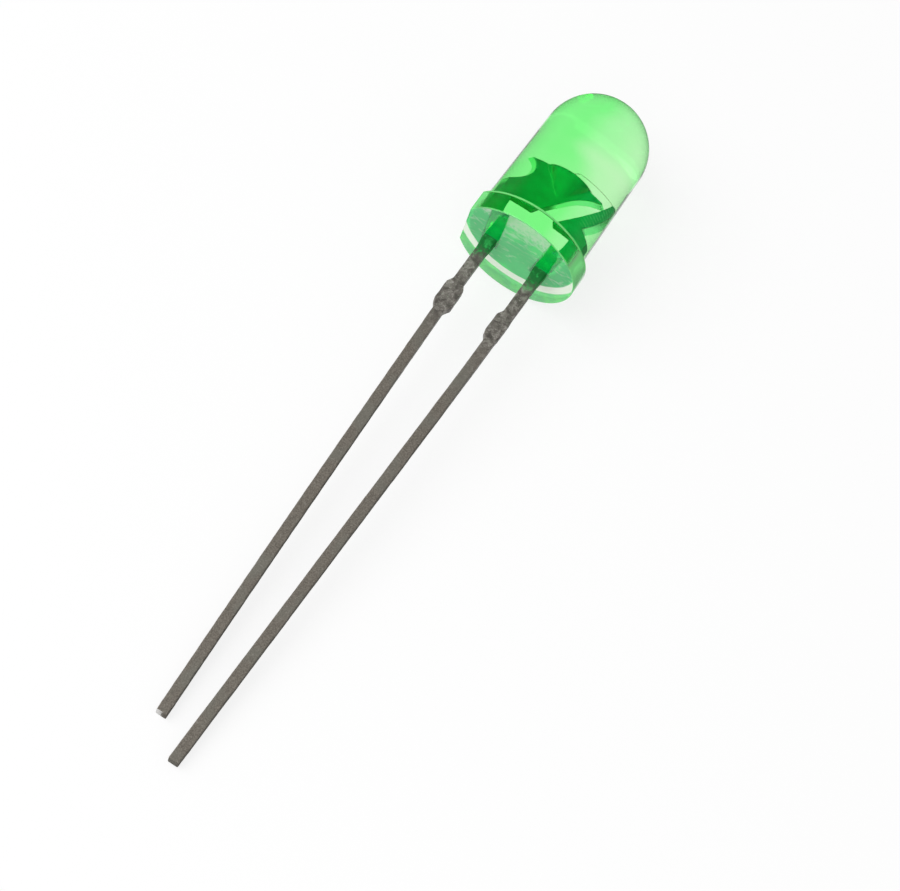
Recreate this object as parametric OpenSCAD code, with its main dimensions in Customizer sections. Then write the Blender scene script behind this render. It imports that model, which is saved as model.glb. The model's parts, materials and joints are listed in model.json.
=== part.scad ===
// Five millimetre through-hole light-emitting diode: a tinted epoxy lamp on two square leads.
// It lies on its side, on the rim of its flange and on the two lead ends. Millimetres throughout.
//
// The pieces are drawn upright, in the lamp's own frame: the origin is the centre of the
// flange's seating face, +z runs up the axis to the dome, the cathode lead is at -x and the
// anode lead at +x, and both lie in the plane y = 0. laid() then turns the lamp on its side.

/* [Lens body] */
// Height from the seating face to the top of the dome
lens_h = 8.85; // [7.5:0.05:11]
// Diameter of the barrel where it leaves the flange
barrel_d = 5; // [4.85:0.05:5.4]
// Diameter of the dome, less than the barrel's by the mould's draft
dome_d = 4.8; // [4.3:0.05:5]
// Height of the straight band at the foot of the barrel
land_h = 0.5; // [0.2:0.05:2]
// Diameter of the flange
flange_d = 5.8; // [5.4:0.05:6.6]
// Thickness of the flange
flange_h = 1; // [0.7:0.05:1.4]
// How far the flat on the cathode side of the flange stands out from the barrel
flat_ledge = 0.03; // [0.02:0.01:0.2]
// Radius of the flange's outer edges
edge_r = 0.05; // [0.02:0.01:0.12]

/* [Resin collars] */
// Diameter of the resin that wets a lead, at the seating face
collar_d = 1.3; // [1:0.05:1.6]
// How far the resin climbs down the lead
collar_h = 0.3; // [0.1:0.05:0.8]
// Least resin left outside the corners of the lead
collar_skin = 0.03; // [0.02:0.01:0.08]

/* [Leads] */
// Distance between the lead centre lines at the seating face
lead_pitch = 2.54; // [2.3:0.02:2.8]
// Thickness of the sheet that the frame is stamped from
sheet_t = 0.5; // [0.4:0.02:0.6]
// Width of the leads below the stand-off bumps
lead_w = 0.5; // [0.4:0.02:0.6]
// Width of the leads above the stand-off bumps
neck_w = 0.54; // [0.44:0.02:0.64]
// Length of the cathode lead below the seating face
cathode_l = 25.9; // [15:0.1:32]
// Length of the anode lead below the seating face
anode_l = 27.3; // [16:0.1:34]
// Depth below the seating face at which the cathode lead starts to lean inwards
cathode_bend_at = 3.4; // [1:0.1:8]
// Angle of the cathode lead's first lean, in degrees
cathode_lean = 1.4; // [0:0.1:2]
// How far inwards the end of the cathode lead has come
cathode_drift = 0.73; // [0:0.01:0.9]
// Depth below the seating face at which the anode lead starts to lean inwards
anode_bend_at = 6; // [1:0.1:10]
// Angle of the anode lead's lean, in degrees
anode_lean = 0.8; // [0:0.1:2]
// How far inwards the end of the anode lead has come
anode_drift = 0.29; // [0:0.01:0.6]

/* [Stand-off bumps] */
// Depth of the middle of the bumps below the seating face
bump_drop = 3.36; // [2:0.02:5]
// Length of the full width of a bump
bump_l = 0.97; // [0.4:0.01:1.6]
// Length of the slope at each end of a bump
bump_slope = 0.3; // [0.1:0.01:0.6]
// How far a whole ear stands out from the side of the lead
bump_ear = 0.19; // [0.05:0.01:0.4]
// How far the sheared-off outer ear of the anode stands out
bump_stub = 0.04; // [0:0.01:0.1]

/* [Anvil] */
// Height at which the leads widen inside the resin
flag_z = 1.6; // [1.2:0.05:2]
// Height of the flat top of the anvil
anvil_z = 4.04; // [3.6:0.02:4.6]
// Distance from the axis to the pointed inner end of the anvil
anvil_reach = 1.25; // [0.9:0.01:1.35]
// Height of the blunt end of the anvil's point
anvil_point_h = 0.07; // [0.03:0.01:0.15]
// Distance from the axis to the lower inner corner of the anvil
anvil_foot_x = -0.33; // [-0.5:0.01:-0.2]
// Height of the knee between the anvil's straight and curved lower edges
anvil_knee_z = 3; // [2.4:0.05:3.4]
// Distance from the axis to that knee
anvil_knee_x = 0.33; // [0.1:0.01:0.45]
// Height of the outer shoulder, where the anchoring notch begins
shoulder_z = 2.68; // [2.3:0.02:3]
// Distance from the axis to the point above the anchoring notch
notch_tip_x = -1.27; // [-1.5:0.01:-1.1]
// Radius of the anchoring notch
notch_r = 0.77; // [0.74:0.01:1.2]

/* [Reflector cup] */
// Height of the cup's rim above the top of the anvil
rim_h = 0.11; // [0.04:0.01:0.3]
// Outer diameter of the cup
cup_outer_d = 1.4; // [1.24:0.02:1.6]
// Inner diameter of the cup at its rim
cup_rim_d = 1.12; // [0.9:0.02:1.2]
// Diameter of the cup's floor
cup_floor_d = 0.62; // [0.5:0.02:0.8]
// Depth of the cup below its rim
cup_depth = 0.38; // [0.25:0.01:0.5]
// Height of the straight band round the outside of the cup
cup_band_h = 0.18; // [0.05:0.01:0.3]
// Height at which the bulge under the cup runs out into the sheet
bulge_z = 2.75; // [2.3:0.05:3.2]
// Diameter of the bulge where it runs out
bulge_d = 0.42; // [0.3:0.02:0.48]

/* [Anode post] */
// Height of the top of the post
post_z = 4.38; // [4.2:0.02:4.8]
// Distance from the axis to the inner end of the post's top
post_top_x = 1.69; // [1.6:0.01:1.8]
// Distance from the axis to the outer side of the post's top
post_outer_x = 2.02; // [1.95:0.01:2.1]
// Height at which the outer side of the post turns inwards
post_outer_z = 3.85; // [3.6:0.02:4.1]
// Distance from the axis to the lower inner corner of the post
post_foot_x = 0.3; // [0.2:0.01:0.6]
// Height of the blunt lower inner corner of the post
post_foot_h = 0.12; // [0.05:0.01:0.3]
// Distance from the axis to the waist in the post's outer side
waist_x = 1.17; // [1.1:0.01:1.35]
// Height of that waist
waist_z = 2.43; // [2.35:0.01:2.6]
// Height of the top of the heel below the waist
heel_z = 2.14; // [2:0.01:2.25]
// Height of the heel's outer side
heel_h = 0.36; // [0.1:0.02:0.6]
// Distance from the axis to the heel's outer side
heel_x = 1.74; // [1.6:0.01:1.9]
// Height at which the heel has run out into the lead
heel_end_z = 1.2; // [0.8:0.05:1.6]

/* [Die and bond wire] */
// Width of the square die
die_w = 0.3; // [0.2:0.01:0.36]
// Height of the die
die_h = 0.25; // [0.1:0.01:0.3]
// Thickness of the silver paste under the die
paste_t = 0.02; // [0.01:0.005:0.05]
// How far the paste climbs the sides of the die
paste_climb = 0.06; // [0.03:0.01:0.08]
// Diameter of the spread of the paste on the floor of the cup
paste_d = 0.52; // [0.46:0.01:0.6]
// Diameter of the bond wire
wire_d = 0.03; // [0.02:0.005:0.05]
// Diameter of the ball that joins the wire to the die
ball_d = 0.1; // [0.08:0.01:0.14]
// Height of that ball
ball_h = 0.05; // [0.03:0.01:0.08]
// Height of the wire's loop above the rim of the cup
loop_h = 0.37; // [0.3:0.01:0.6]
// Radius of the wire's first turn
loop_r = 0.2; // [0.1:0.01:0.3]
// Width of the flattened end of the wire on the post
stitch_w = 0.08; // [0.05:0.01:0.12]
// Length of that flattened end
stitch_l = 0.1; // [0.06:0.01:0.14]
// Thickness of that flattened end
stitch_t = 0.02; // [0.012:0.002:0.04]

/* [Hidden] */
round_fn = 96;
fine_fn = 48;
// Overlap that lets two shapes of one solid join, or a cutter clear a face
eps = 0.02;
dome_steps = 28;
edge_steps = 4;
arc_steps = 16;
lead_steps = 14;
collar_steps = 8;
turn_steps = 6;
fall_steps = 8;
wire_sides = 8;

barrel_r = barrel_d / 2;
dome_r = dome_d / 2;
flange_r = flange_d / 2;
flat_offset = barrel_r + flat_ledge;
lead_x = lead_pitch / 2;
half_t = sheet_t / 2;
land_z = flange_h + land_h;
dome_z = lens_h - dome_r;
rim_z = anvil_z + rim_h;
cup_floor_z = rim_z - cup_depth;
die_z = cup_floor_z + paste_t;
die_top_z = die_z + die_h;
loop_z = rim_z + loop_h;
stitch_x = (post_top_x + post_outer_x) / 2;
wire_end_z = post_z + wire_d / 2;

// Points along an arc about c from angle a0 to a1, both ends included.
function arc(c, r, a0, a1, steps) =
    [for (i = [0:steps]) let (a = a0 + (a1 - a0) * i / steps) c + r * [cos(a), sin(a)]];

// Angle of p seen from c, between 0 and 360 degrees.
function bearing(c, p) = let (a = atan2(p.y - c.y, p.x - c.x)) a < 0 ? a + 360 : a;

// Centre of the circle of radius r through p and q that lies to the left of the way from p to q.
function centre_left(p, q, r) =
    let (half = norm(q - p) / 2, along = (q - p) / (2 * half))
    (p + q) / 2 + sqrt(r * r - half * half) * [-along.y, along.x];

// Draft angle at which a line from the top of the land touches the dome.
draft = acos(dome_r / norm([barrel_r, dome_z - land_z])) - atan2(dome_z - land_z, barrel_r);

// Half outline of the lens body, as [radius, height].
function lens_outline() = concat(
    [[0, 0]],
    arc([flange_r - edge_r, edge_r], edge_r, -90, 0, edge_steps),
    arc([flange_r - edge_r, flange_h - edge_r], edge_r, 0, 90, edge_steps),
    [[barrel_r, flange_h], [barrel_r, land_z]],
    arc([0, dome_z], dome_r, draft, 90, dome_steps)
);

// Inward lean of a lead at depth s: straight down to start, then a slope that curves until
// the end, at depth l, has come in by drift.
function lean_in(s, start, lean, drift, l) =
    let (run = max(s - start, 0), full = l - start)
    run * tan(lean) + (drift - full * tan(lean)) * pow(run / full, 2);

function cathode_x(s) = -lead_x + lean_in(s, cathode_bend_at, cathode_lean, cathode_drift, cathode_l);
function anode_x(s) = lead_x - lean_in(s, anode_bend_at, anode_lean, anode_drift, anode_l);

// Depth and half width of one side of a lead, from the seating face to its end.
function side_outline(ear, l) =
    let (top = bump_drop - bump_l / 2, foot = bump_drop + bump_l / 2, plain = foot + bump_slope)
    concat(
        [[top - bump_slope, neck_w / 2], [top, lead_w / 2 + ear],
         [foot, lead_w / 2 + ear], [plain, lead_w / 2]],
        [for (i = [1:lead_steps]) [plain + (l - plain) * i / lead_steps, lead_w / 2]]
    );

function reversed(list) = [for (i = [len(list) - 1:-1:0]) list[i]];

// The lead below the seating face, as points down its left side and up its right.
function cathode_lead_points() = concat(
    [for (p = side_outline(bump_ear, cathode_l)) [cathode_x(p[0]) - p[1], -p[0]]],
    reversed([for (p = side_outline(bump_ear, cathode_l)) [cathode_x(p[0]) + p[1], -p[0]]])
);
function anode_lead_points() = concat(
    [for (p = side_outline(bump_ear, anode_l)) [anode_x(p[0]) - p[1], -p[0]]],
    reversed([for (p = side_outline(bump_stub, anode_l)) [anode_x(p[0]) + p[1], -p[0]]])
);

// The anvil: lower edge from the lead to the point, flat top, then the notch in its outer side.
function anvil_points() =
    let (
        foot = [anvil_foot_x, flag_z],
        knee = [anvil_knee_x, anvil_knee_z],
        point = [anvil_reach, anvil_z - anvil_point_h],
        rise = (knee - foot) / norm(knee - foot),
        curve_r = pow(norm(point - knee), 2) / (2 * (point - knee) * [rise.y, -rise.x]),
        curve_c = knee + curve_r * [rise.y, -rise.x],
        shoulder = [-lead_x - neck_w / 2, shoulder_z],
        tip = [notch_tip_x, anvil_z],
        notch_c = centre_left(shoulder, tip, notch_r)
    )
    concat(
        [[-lead_x + neck_w / 2, flag_z], foot],
        arc(curve_c, curve_r, bearing(curve_c, knee), bearing(curve_c, point), arc_steps),
        [[anvil_reach, anvil_z]],
        arc(notch_c, notch_r, bearing([0, 0], tip - notch_c), bearing([0, 0], shoulder - notch_c) - 360,
            arc_steps)
    );

// The post: its bar leans out from the lower inner corner to the top, with a heel on the lead.
function post_points() = [
    [lead_x + neck_w / 2, heel_end_z],
    [heel_x, heel_z - heel_h],
    [heel_x, heel_z],
    [waist_x, waist_z],
    [post_outer_x, post_outer_z],
    [post_outer_x, post_z],
    [post_top_x, post_z],
    [post_foot_x, flag_z + post_foot_h],
    [post_foot_x, flag_z],
    [lead_x - neck_w / 2, flag_z]
];

// A flat stamping of the sheet with this outline in the x-z plane.
module stamped(points)
    translate([0, half_t, 0]) rotate([90, 0, 0]) linear_extrude(sheet_t) polygon(points);

// Outside of the cup: a straight band on a cone that runs down into the sheet.
module cup_outside() {
    band_z = rim_z - cup_band_h;
    translate([0, 0, bulge_z]) cylinder(h = band_z - bulge_z, d1 = bulge_d, d2 = cup_outer_d, $fn = round_fn);
    translate([0, 0, band_z]) cylinder(h = cup_band_h, d = cup_outer_d, $fn = round_fn);
}

module cup_hollow() {
    wall_slope = (cup_rim_d - cup_floor_d) / cup_depth;
    translate([0, 0, cup_floor_z])
        cylinder(h = cup_depth + eps, d1 = cup_floor_d, d2 = cup_rim_d + wall_slope * eps, $fn = round_fn);
}

module cathode_shape() {
    difference() {
        union() {
            stamped(concat(cathode_lead_points(), anvil_points()));
            cup_outside();
        }
        cup_hollow();
    }
}

module anode_shape() {
    stamped(concat(anode_lead_points(), post_points()));
}

module die_shape()
    translate([-die_w / 2, -die_w / 2, die_z]) cube([die_w, die_w, die_h]);

// Paste under the die, with a fillet that climbs its sides.
module paste_shape() {
    difference() {
        translate([0, 0, cup_floor_z])
            cylinder(h = paste_t + paste_climb, d1 = paste_d, d2 = die_w * sqrt(2) + eps, $fn = fine_fn);
        die_shape();
    }
}

// Middle line of the wire as [x, z, heading, half width, half height], from the ball on the die
// over the first turn and down the long shallow fall to the flattened end on the post.
function wire_stations() =
    let (
        wire_r = wire_d / 2,
        span = stitch_x - loop_r,
        fall = loop_z - wire_end_z,
        fall_r = (span * span + fall * fall) / (2 * fall),
        fall_angle = asin(span / fall_r),
        ball_top = die_top_z + ball_h
    )
    concat(
        [[0, die_top_z, 90, ball_d / 2, ball_d / 2],
         [0, ball_top, 90, ball_d * 0.4, ball_d * 0.4],
         [0, ball_top + wire_d, 90, wire_r, wire_r]],
        [for (i = [0:turn_steps]) let (a = 90 * i / turn_steps)
            [loop_r * (1 - cos(a)), loop_z - loop_r * (1 - sin(a)), 90 - a, wire_r, wire_r]],
        [for (i = [1:fall_steps]) let (a = fall_angle * i / fall_steps)
            [loop_r + fall_r * sin(a), loop_z - fall_r * (1 - cos(a)), -a, wire_r, wire_r]],
        [[stitch_x + stitch_l / 2, post_z + stitch_t / 2, 0, stitch_w / 2, stitch_t / 2],
         [stitch_x + stitch_l, post_z + stitch_t / 2, 0, stitch_w / 2, stitch_t / 2]]
    );

// One ring of the wire's skin round a station, with a flat side underneath.
function wire_ring(s) =
    let (flat = cos(180 / wire_sides))
    [for (k = [0:wire_sides - 1]) let (
        a = 360 * (k + 0.5) / wire_sides - 90,
        out = s[4] * sin(a) / flat
    ) [s[0] - out * sin(s[2]), -s[3] * cos(a) / flat, s[1] + out * cos(s[2])]];

module wire_shape() {
    stations = wire_stations();
    last = len(stations) - 1;
    polyhedron(
        points = [for (s = stations) each wire_ring(s)],
        faces = concat(
            [[for (k = [0:wire_sides - 1]) k]],
            [for (i = [0:last - 1], k = [0:wire_sides - 1])
                let (a = i * wire_sides + k, b = i * wire_sides + (k + 1) % wire_sides)
                each [[a, a + wire_sides, b], [b, a + wire_sides, b + wire_sides]]],
            [[for (k = [wire_sides - 1:-1:0]) last * wire_sides + k]]
        )
    );
}

// Resin that has crept down a lead at x.
module collar(x) {
    skin_r = neck_w / sqrt(2) + collar_skin;
    spread = collar_d / 2 - skin_r;
    translate([x, 0, 0]) rotate_extrude($fn = round_fn) polygon(concat(
        [[0, eps], [collar_d / 2, eps]],
        [for (i = [0:collar_steps]) let (a = 90 * i / collar_steps)
            [collar_d / 2 - spread * sin(a), -collar_h * (1 - cos(a))]],
        [[0, -collar_h]]
    ));
}

module lens_shape() {
    difference() {
        rotate_extrude($fn = round_fn) polygon(lens_outline());
        translate([-flange_d, -flange_d, -eps])
            cube([flange_d - flat_offset, 2 * flange_d, flange_h + 2 * eps]);
    }
    collar(-lead_x);
    collar(lead_x);
}

// The plane y = a + b x + c z that touches the rim of the flange and the near corner of each
// lead end is the surface that the lamp lies on. near is how far that corner is off the lead's
// centre line.
near = lead_w / 2;
cathode_end = [cathode_x(cathode_l) - near, cathode_l];
anode_end = [anode_x(anode_l) - near, anode_l];
roll_share = (anode_end[1] - cathode_end[1]) / (anode_end[0] - cathode_end[0]);
arm = cathode_end[1] - roll_share * cathode_end[0];
lay_a = arm * arm - pow(flange_r * roll_share, 2);
lay_b = sheet_t * arm;
lay_c = half_t * half_t - flange_r * flange_r;
pitch_slope = (-lay_b + sqrt(lay_b * lay_b - 4 * lay_a * lay_c)) / (2 * lay_a);
roll_slope = roll_share * pitch_slope;

// Turns the upright lamp on its side, with the leads towards -y and the surface level.
module laid()
    rotate([atan(pitch_slope) - 90, -atan(roll_slope / norm([1, pitch_slope])), 0]) children();

module lens_body() {
    color("palegreen", 0.6) laid() difference() {
        lens_shape();
        cathode_shape();
        anode_shape();
        paste_shape();
        die_shape();
        wire_shape();
    }
}

module cathode_lead() {
    color("dimgray") laid() cathode_shape();
}

module anode_lead() {
    color("gray") laid() anode_shape();
}

module die_paste() {
    color("silver") laid() paste_shape();
}

module led_die() {
    color("olivedrab") laid() die_shape();
}

module bond_wire() {
    color("gold") laid() wire_shape();
}

lens_body();
cathode_lead();
anode_lead();
die_paste();
led_die();
bond_wire();
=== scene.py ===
"""Looks for a round, green-tinted indicator lamp on two square leads.

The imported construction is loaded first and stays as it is.  Each piece that shows is modelled
upright in the lamp's own frame (millimetres, +z from the seating face to the dome, cathode at
-x) and then laid on its side by the same turn as the construction.
"""

import json
import logging
import math
from collections.abc import Callable, Iterator, Sequence
from contextlib import contextmanager
from dataclasses import dataclass
from enum import Enum

import bmesh
import bpy
from mathutils import Matrix, Vector


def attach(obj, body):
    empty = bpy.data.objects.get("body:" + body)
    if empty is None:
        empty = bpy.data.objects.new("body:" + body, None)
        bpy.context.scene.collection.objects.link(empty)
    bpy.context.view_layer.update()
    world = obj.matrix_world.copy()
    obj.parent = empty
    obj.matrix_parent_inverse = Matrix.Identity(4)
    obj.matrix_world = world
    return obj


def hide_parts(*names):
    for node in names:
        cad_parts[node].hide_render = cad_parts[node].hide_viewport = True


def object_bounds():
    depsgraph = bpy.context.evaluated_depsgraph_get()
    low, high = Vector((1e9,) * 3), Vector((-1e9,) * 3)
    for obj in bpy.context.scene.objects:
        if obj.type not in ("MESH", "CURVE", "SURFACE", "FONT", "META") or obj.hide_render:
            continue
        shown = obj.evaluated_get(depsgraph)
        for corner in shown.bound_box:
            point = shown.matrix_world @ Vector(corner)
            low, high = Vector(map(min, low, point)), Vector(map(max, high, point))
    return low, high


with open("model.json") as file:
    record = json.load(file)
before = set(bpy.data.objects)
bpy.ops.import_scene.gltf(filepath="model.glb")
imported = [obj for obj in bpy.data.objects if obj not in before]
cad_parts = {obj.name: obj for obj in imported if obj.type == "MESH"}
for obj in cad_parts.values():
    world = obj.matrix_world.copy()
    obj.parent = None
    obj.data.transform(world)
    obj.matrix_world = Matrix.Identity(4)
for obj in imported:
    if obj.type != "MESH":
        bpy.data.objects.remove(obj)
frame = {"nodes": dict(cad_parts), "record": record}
CAD_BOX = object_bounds()

LOG = logging.getLogger("indicator_lamp")
MM = 0.001
BODY = "root"
SAME_PLACE = 1e-4
CLOSE_BY = 1e-3

Piece = bpy.types.Object
Material = bpy.types.Material
Socket = bpy.types.NodeSocket
Test = Callable[[Vector], bool]
Colour = tuple[float, float, float]
Value = float | Colour | Vector | Socket
# Radius and height of a ring, in millimetres.
Ring = tuple[float, float]
# Where a share is 0 and where it is full.
Fade = tuple[float, float]
# A number at its first end and at its last end.
Range = tuple[float, float]
# Where a colour stands on a ramp, and the colour.
Stop = tuple[float, Colour]

WHITE: Colour = (1.0, 1.0, 1.0)


class Node(Enum):
    """The construction's nodes."""

    LENS = "lens_body"
    CATHODE = "cathode_lead"
    ANODE = "anode_lead"
    PASTE = "die_paste"
    DIE = "led_die"
    WIRE = "bond_wire"


class Slot(Enum):
    """The record's material slots."""

    EPOXY = "green_epoxy"
    TIN = "tinned_steel"
    PASTE = "silver_paste"
    CRYSTAL = "die_crystal"
    GOLD = "gold_wire"


class Domain(Enum):
    """What a selection picks."""

    VERTS = "VERT"
    EDGES = "EDGE"
    FACES = "FACE"


@dataclass(frozen=True)
class LampFrame:
    """Where the lamp's own axes point once it lies on its side."""

    axis: Vector
    across: Vector

    @classmethod
    def from_record(cls, record: dict) -> "LampFrame":
        """Read the lamp's axis from its seating face; its x axis stays square to the row's Y.

        Args:
            record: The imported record.

        Returns:
            The lamp's frame.
        """
        seat = next(m for m in record["mounts"] if m["name"] == "seating_face")
        axis = -Vector(seat["axis"]).normalized()
        return cls(axis, Vector((axis.z, 0.0, -axis.x)).normalized())

    @property
    def front(self) -> Vector:
        """The lamp's -y direction, the side that faces up once it lies down."""
        return self.across.cross(self.axis)

    @property
    def turn(self) -> Matrix:
        """The turn from the lamp's own frame to the row's."""
        rows = Matrix((self.across, -self.front, self.axis))
        return rows.transposed().to_4x4()


# --- Modelling by hand ---------------------------------------------------------------------


def deselect() -> None:
    """Clear the selection."""
    bpy.ops.object.select_all(action="DESELECT")


def take(piece: Piece) -> None:
    """Make a piece the only selected and the active one.

    Args:
        piece: The piece.
    """
    deselect()
    piece.select_set(True)
    bpy.context.view_layer.objects.active = piece


@contextmanager
def editing(piece: Piece) -> Iterator[None]:
    """Open a piece in edit mode, and close it again.

    Args:
        piece: The piece.

    Returns:
        A context in which it is open.
    """
    take(piece)
    bpy.ops.object.mode_set(mode="EDIT")
    yield
    bpy.ops.object.mode_set(mode="OBJECT")


def pick(piece: Piece, domain: Domain, test: Test) -> None:
    """Select what passes a test, in edit mode.

    Args:
        piece: The piece that is open in edit mode.
        domain: Whether vertices, edges or faces are picked.
        test: Takes the place, in millimetres, of a vertex or of the middle of an edge or face.
    """
    bpy.ops.mesh.select_mode(type=domain.value)
    bpy.ops.mesh.select_all(action="DESELECT")
    mesh = bmesh.from_edit_mesh(piece.data)
    for part in {"VERT": mesh.verts, "EDGE": mesh.edges, "FACE": mesh.faces}[domain.value]:
        corners = [part] if domain is Domain.VERTS else part.verts
        if test(sum((corner.co for corner in corners), Vector()) / (len(corners) * MM)):
            part.select_set(True)
    mesh.select_flush_mode()
    bmesh.update_edit_mesh(piece.data)


def stack_rings(rings: Sequence[Ring]) -> None:
    """Extrude the selected ring through each of these rings in turn.

    Args:
        rings: The rings, of which the first is the selected one.
    """
    for (radius, height), (next_radius, next_height) in zip(rings, rings[1:]):
        rise = (0.0, 0.0, (next_height - height) * MM)
        bpy.ops.mesh.extrude_region_move(TRANSFORM_OT_translate={"value": rise})
        grow = next_radius / radius
        if grow != 1:
            middle = (0.0, 0.0, next_height * MM)
            bpy.ops.transform.resize(value=(grow, grow, 1.0), center_override=middle)


def close_tip(height: float) -> None:
    """Close the selected ring, with a rise to one point on the axis.

    Args:
        height: How high that point lies, in millimetres.
    """
    bpy.ops.mesh.extrude_region_move()
    bpy.ops.mesh.merge(type="CENTER")
    bpy.ops.transform.resize(value=(0.0, 0.0, 0.0), center_override=(0.0, 0.0, height * MM))


def turned(name: str, rings: Sequence[Ring], sides: int) -> Piece:
    """Turn a closed form from rings that run from its foot to its top.

    Args:
        name: The piece's name.
        rings: The rings, from the rim of the foot to the rim of the top.
        sides: How many sides each ring has.

    Returns:
        The piece, upright on the origin.
    """
    radius, height = rings[0]
    deselect()
    bpy.ops.mesh.primitive_circle_add(vertices=sides, radius=radius * MM)
    piece = bpy.context.object
    piece.name = name
    foot = Vector((radius, height))
    with editing(piece):
        bpy.ops.transform.translate(value=(0.0, 0.0, height * MM))
        stack_rings(rings)
        close_tip(rings[-1][1])
        pick(
            piece, Domain.VERTS,
            lambda at: (Vector((at.xy.length, at.z)) - foot).length < SAME_PLACE,
        )
        close_tip(height)
        bpy.ops.mesh.select_all(action="SELECT")
        bpy.ops.mesh.normals_make_consistent(inside=False)
    return piece


def weigh(piece: Piece, name: str, weight: Callable[[Vector], float]) -> None:
    """Give a piece a vertex group whose weight depends on the place.

    Args:
        piece: The piece.
        name: The group's name.
        weight: Takes a place in millimetres and returns its weight.
    """
    group = piece.vertex_groups.new(name=name)
    for vert in piece.data.vertices:
        share = weight(vert.co / MM)
        if share > 0:
            group.add([vert.index], share, "REPLACE")


def cast(piece: Piece, kind: str, **settings: object) -> None:
    """Add a modifier and apply it.

    Args:
        piece: The piece.
        kind: The modifier's type.
        **settings: What is set on the modifier.
    """
    take(piece)
    modifier = piece.modifiers.new(kind.title(), kind)
    for key, value in settings.items():
        setattr(modifier, key, value)
    bpy.ops.object.modifier_apply(modifier=modifier.name)


def push(piece: Piece, group: str, depth: float, **settings: object) -> None:
    """Push the vertices of a group outwards, or along one axis.

    Args:
        piece: The piece.
        group: The vertex group that says how far each vertex moves.
        depth: The farthest move, in millimetres.  A negative one goes inwards.
        **settings: A texture or a direction, as the Displace modifier has them.
    """
    cast(piece, "DISPLACE", strength=depth * MM, mid_level=0.0, vertex_group=group, **settings)


def clouds(name: str, size: float, depth: int = 2) -> dict[str, object]:
    """A cloudy texture for a push.

    Args:
        name: The texture's name.
        size: How wide its lumps are, in millimetres.
        depth: How many finer levels it has.

    Returns:
        The settings that give a push this texture.
    """
    texture = bpy.data.textures.new(name, type="CLOUDS")
    texture.noise_scale = size * MM
    texture.noise_depth = depth
    return {"texture": texture, "texture_coords": "LOCAL"}


def smooth_by_angle(piece: Piece, degrees: float) -> None:
    """Shade smooth, apart from edges sharper than this angle."""
    take(piece)
    bpy.ops.object.shade_smooth_by_angle(angle=math.radians(degrees))


def standing_copy(node: Node, lamp: LampFrame) -> Piece:
    """Copy a node, merge the copy's loose triangles and stand it upright.

    Args:
        node: The node.
        lamp: Where the lamp's axes point.

    Returns:
        The copy, in the lamp's own frame.
    """
    copy = bpy.data.objects.new(node.value + "_dressed", frame["nodes"][node.value].data.copy())
    bpy.context.scene.collection.objects.link(copy)
    copy.data.materials.clear()
    copy.data.transform(lamp.turn.inverted())
    with editing(copy):
        bpy.ops.mesh.select_all(action="SELECT")
        bpy.ops.mesh.remove_doubles(threshold=CLOSE_BY * MM)
    return copy


def join(parts: Sequence[Piece], name: str) -> Piece:
    """Join parts into one piece.

    Args:
        parts: The parts.
        name: The piece's name.

    Returns:
        The piece, which is the first of the parts.
    """
    take(parts[0])
    for part in parts[1:]:
        part.select_set(True)
    bpy.ops.object.join()
    parts[0].name = name
    return parts[0]


def lay_down(piece: Piece, lamp: LampFrame, replaced: Node) -> Piece:
    """Lay an upright piece on its side and hand it to the frame.

    Args:
        piece: The finished piece, upright in the lamp's own frame.
        lamp: Where the lamp's axes point.
        replaced: The node that the piece stands for.

    Returns:
        The same piece.
    """
    piece.data.transform(lamp.turn)
    piece.data.update()
    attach(piece, BODY)
    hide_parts(replaced.value)
    return piece


# --- Finishes ------------------------------------------------------------------------------


@dataclass(frozen=True)
class Grain:
    """A cloudy pattern: width of its lumps in millimetres, finer levels, and how it swirls."""

    width: float
    detail: float = 3.0
    twist: float = 0.0


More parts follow.
